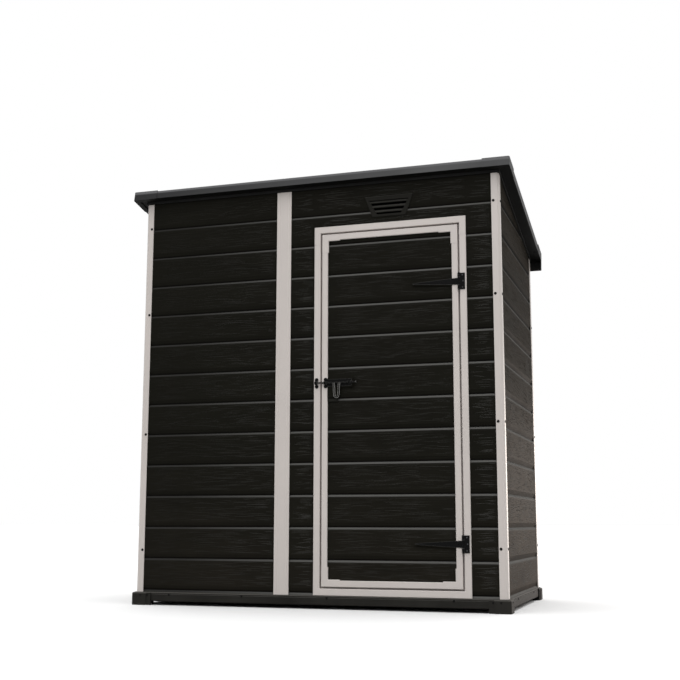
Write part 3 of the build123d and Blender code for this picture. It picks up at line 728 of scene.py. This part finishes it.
def add_screw(mesh_code, place, direction, radius, spin):
    """A pan head on a surface, with a cross recess sunk in its middle."""
    at = placed(place, direction) @ Matrix.Rotation(spin, 4, "Z")
    top = SCREW_PROFILE[-1][1]
    cross = [CROSS_REACH[index % len(CROSS_REACH)] for index in range(SCREW_SIDES)]
    rows = [[(reach, height)] * SCREW_SIDES for reach, height in SCREW_PROFILE]
    rows += [[(reach, height) for reach in cross] for height in (top, top - CROSS_DEPTH)]
    rings = []
    for row in rows:
        ring = []
        for index, (reach, height) in enumerate(row):
            angle = 2 * math.pi * index / SCREW_SIDES
            across = reach * radius
            corner = Vector((across * math.cos(angle), across * math.sin(angle), height))
            ring.append(mesh_code.verts.new(at @ corner))
        rings.append(ring)
    for lower, upper in zip(rings, rings[1:]):
        for index in range(SCREW_SIDES):
            after = (index + 1) % SCREW_SIDES
            mesh_code.faces.new((lower[index], lower[after], upper[after], upper[index]))
    mesh_code.faces.new(rings[-1])
    mesh_code.faces.new(tuple(reversed(rings[0])))


def add_screws(name, body, material, places, radius):
    """Several screws of one size as one piece."""
    mesh_code = bmesh.new()
    for index, (place, direction) in enumerate(places):
        add_screw(mesh_code, place, direction, radius, FIRST_SPIN + NEXT_SPIN * index)
    add_piece(name, mesh_code, material, body)


# Screws of the corner posts, on the left (-1) and on the right (1)

POST_SCREW_HEIGHTS = {-1: (1.878, 1.430, 0.826, 0.262), 1: (1.875, 1.433, 0.845, 0.279)}
POST_SCREW_INSET = 0.028
POST_SCREW_SIDE_INSET = 0.024
POST_SCREW_RADIUS = 0.0065
POST_TOP_CLEARANCE = 0.06


def post_screws(corner, side_x, side_y):
    """Pairs of screws up one corner post, as far as the post reaches."""
    low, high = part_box(f"corner_post_{corner}")
    outer_x = high[0] if side_x > 0 else low[0]
    outer_y = high[1] if side_y > 0 else low[1]
    places = []
    for height in POST_SCREW_HEIGHTS[side_x]:
        if height < high[2] - POST_TOP_CLEARANCE:
            places.append(((outer_x - side_x * POST_SCREW_INSET, outer_y, height), (0, side_y, 0)))
            places.append(((outer_x, outer_y - side_y * POST_SCREW_SIDE_INSET, height), (side_x, 0, 0)))
    add_screws(f"post_screws_{corner}", "root", screw_black, places, POST_SCREW_RADIUS)


for corner, side_x, side_y in (
    ("front_left", -1, -1), ("front_right", 1, -1), ("back_left", -1, 1), ("back_right", 1, 1),
):
    post_screws(corner, side_x, side_y)


# Screws of the base

RAIL_SCREW_PLACES = (-0.7295, -0.352, 0.0715, 0.667)
SIDE_RAIL_SCREW_PLACES = (-0.25, 0.25)
RAIL_SCREW_DROP = 0.012
RAIL_SCREW_RADIUS = 0.0045
BLOCK_SCREW_PLACES = (0.019, 0.055)
BLOCK_SCREW_DROP = 0.012
BLOCK_SCREW_RADIUS = 0.0042

# A corner block's legs, each of which ends in a sleeve that is set back
BLOCK_LEG = 0.100
SLEEVE_LENGTH = 0.024
SLEEVE_STEP = 0.003


def rail_screws(node, side_y):
    """Screws along the front (-1) or the back (1) rail."""
    low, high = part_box(node)
    face = low[1] if side_y < 0 else high[1]
    places = [((x, face, high[2] - RAIL_SCREW_DROP), (0, side_y, 0)) for x in RAIL_SCREW_PLACES]
    add_screws(f"{node}_screws", "root", screw_black, places, RAIL_SCREW_RADIUS)


def side_rail_screws():
    """Two screws on each side rail."""
    low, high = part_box("base_rail_sides")
    places = []
    for side_x, face in ((-1, low[0]), (1, high[0])):
        for y in SIDE_RAIL_SCREW_PLACES:
            places.append(((face, y, high[2] - RAIL_SCREW_DROP), (side_x, 0, 0)))
    add_screws("base_rail_sides_screws", "root", screw_black, places, RAIL_SCREW_RADIUS)


def block_screws():
    """Two screws on each leg of the four corner blocks, one of them on its sleeve."""
    low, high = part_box("base_blocks")
    height = high[2] - BLOCK_SCREW_DROP
    places = []
    for side_x in (-1, 1):
        for side_y in (-1, 1):
            outer_x = high[0] if side_x > 0 else low[0]
            outer_y = high[1] if side_y > 0 else low[1]
            for reach in BLOCK_SCREW_PLACES:
                sink = SLEEVE_STEP if reach < SLEEVE_LENGTH else 0.0
                away = BLOCK_LEG - reach
                places.append(((outer_x - side_x * away, outer_y - side_y * sink, height), (0, side_y, 0)))
                places.append(((outer_x - side_x * sink, outer_y - side_y * away, height), (side_x, 0, 0)))
    add_screws("base_block_screws", "root", screw_black, places, BLOCK_SCREW_RADIUS)


rail_screws("base_rail_front", -1)
rail_screws("base_rail_back", 1)
side_rail_screws()
block_screws()


# Screws of the hinges

# Outer face of plates and straps, the barrel's radius, and half a plate's height with its pin heads
HINGE_FACE = -0.506
BARREL_RADIUS = 0.0055
HINGE_HALF = 0.042

# Places from the pin: across and up on a plate, and across on a strap
PLATE_SCREW_PLACES = ((0.017, 0.029), (0.017, -0.029), (0.020, 0.0))
PLATE_SCREW_RADIUS = 0.0036
STRAP_SCREW_PLACES = (0.022, 0.078, 0.140)
STRAP_SCREW_RADIUS = 0.0034


def hinge_screws():
    """Screws of the two plates on the jamb and the two straps on the door."""
    low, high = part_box("hinge_plates")
    middles = (high[2] - HINGE_HALF, low[2] + HINGE_HALF)
    places = [((low[0] + BARREL_RADIUS + away, HINGE_FACE, middle + rise), FRONT)
              for middle in middles for away, rise in PLATE_SCREW_PLACES]
    add_screws("hinge_plate_screws", "root", screw_grey, places, PLATE_SCREW_RADIUS)
    places = [((straps_high[0] - BARREL_RADIUS - away, HINGE_FACE, middle), FRONT)
              for middle in middles for away in STRAP_SCREW_PLACES]
    add_screws("hinge_strap_screws", "door", screw_black, places, STRAP_SCREW_RADIUS)


hinge_screws()


# Screws of the latch

# Outer face of keeper and plate, and the screws' places from the middle line and the plate's ends
LATCH_FACE = -0.5055
LOBE_RISE = 0.016
LOBE_INSET = 0.009
FAR_RISE = 0.011
FAR_INSET = 0.022
KEEPER_SCREW_RADIUS = 0.0040
LATCH_SCREW_RADIUS = 0.0036


def latch_screws():
    """Screws of the keeper on the jamb and of the long plate on the door."""
    keeper_low, keeper_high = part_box("latch_keeper")
    keeper_x = (keeper_low[0] + keeper_high[0]) / 2
    middle = (plate_low[2] + plate_high[2]) / 2
    lobe_x = plate_low[0] + LOBE_INSET
    far_x = plate_high[0] - FAR_INSET
    places = [((keeper_x, LATCH_FACE, middle + rise), FRONT) for rise in (-LOBE_RISE, LOBE_RISE)]
    add_screws("keeper_screws", "root", screw_black, places, KEEPER_SCREW_RADIUS)
    places = [((lobe_x, LATCH_FACE, middle + rise), FRONT) for rise in (-LOBE_RISE, LOBE_RISE)]
    places += [((far_x, LATCH_FACE, middle + rise), FRONT) for rise in (-FAR_RISE, FAR_RISE)]
    add_screws("latch_plate_screws", "door", screw_black, places, LATCH_SCREW_RADIUS)


latch_screws()


# Floor

FLOOR_SEEN = (0.66, 0.66, 0.66)
FLOOR_BOUNCE = (0.28, 0.28, 0.27)
FLOOR_CORNERS = ((-60, -20), (60, -20), (60, 120), (-60, 120))


def background_rays(nodes):
    """1 for each ray that shows the background: the camera's own, and what gloss or glass sends on."""
    path = nodes.add("ShaderNodeLightPath")
    rays = path.outputs["Is Camera Ray"]
    for kind in ("Is Glossy Ray", "Is Transmission Ray"):
        rays = nodes.math("MAXIMUM", rays, path.outputs[kind])
    return rays


def floor_material():
    """Near white where it is seen, and less bright as light that it sends back up."""
    material = principled("studio_floor", FLOOR_BOUNCE, roughness=0.9, specular=0.1)
    nodes = Nodes(material)
    nodes.feed("Base Color", nodes.mixed(background_rays(nodes), FLOOR_BOUNCE, FLOOR_SEEN))
    return material


def studio_floor():
    """A pale level floor that runs far behind the object."""
    mesh_code = bmesh.new()
    mesh_code.faces.new([mesh_code.verts.new((x, y, 0)) for x, y in FLOOR_CORNERS])
    floor = new_object("studio_floor", mesh_code, floor_material())
    floor.rotation_euler = (0, 0, CAMERA_TURN)


# Light

# The upward part of a direction over which the sky brightens, and its strengths
SKY_REACH = (0.25, 0.95)
SKY_STRENGTHS = (0.2, 3.0)


def world_light():
    """A soft sky, dim at the horizon and bright overhead, and plain white where it is seen."""
    world = bpy.data.worlds.new("studio")
    bpy.context.scene.world = world
    world.use_nodes = True
    nodes = Nodes(world, "Background")
    nodes.shader.inputs["Color"].default_value = (1, 1, 1, 1)
    direction = nodes.add("ShaderNodeTexCoord").outputs["Generated"]
    sky = nodes.range(nodes.part(direction, "Z"), *SKY_REACH, *SKY_STRENGTHS)
    pick = nodes.add("ShaderNodeMix", {"Factor": background_rays(nodes), "A": sky, "B": 1.0})
    nodes.feed("Strength", pick.outputs["Result"])


def area_light(name, place, target, size, power, color=(1, 1, 1)):
    """A lamp that lights a target and isn't seen itself."""
    data = bpy.data.lights.new(name, "AREA")
    data.shape = "RECTANGLE"
    data.size, data.size_y = size
    data.energy = power
    data.color = color
    light = bpy.data.objects.new(name, data)
    bpy.context.scene.collection.objects.link(light)
    light.location = place
    light.visible_camera = False
    light.rotation_euler = (Vector(target) - Vector(place)).to_track_quat("-Z", "Y").to_euler()


# Camera


def photo_camera():
    """The photograph's own place and angle of view."""
    data = bpy.data.cameras.new("photo_camera")
    data.sensor_fit = "HORIZONTAL"
    data.sensor_width = SENSOR_WIDTH
    data.lens = FOCAL_PIXELS / IMAGE_PIXELS * SENSOR_WIDTH
    data.clip_end = FARTHEST_SEEN
    camera = bpy.data.objects.new("photo_camera", data)
    bpy.context.scene.collection.objects.link(camera)
    camera.location = CAMERA_PLACE
    camera.rotation_euler = (math.pi / 2 + CAMERA_PITCH, CAMERA_ROLL, CAMERA_TURN)
    bpy.context.scene.camera = camera


studio_floor()
world_light()
area_light("front_fill", place=(1.2, -6.8, 4.8), target=(0, 0, 1.0), size=(4, 3), power=90)
area_light("side_glow", place=(3.4, 6.0, 0.9), target=(0.9, 0, 0.4), size=(3, 1.4), power=110,
           color=(1, 0.86, 0.76))
photo_camera()

view = bpy.context.scene.view_settings
view.view_transform = "Standard"
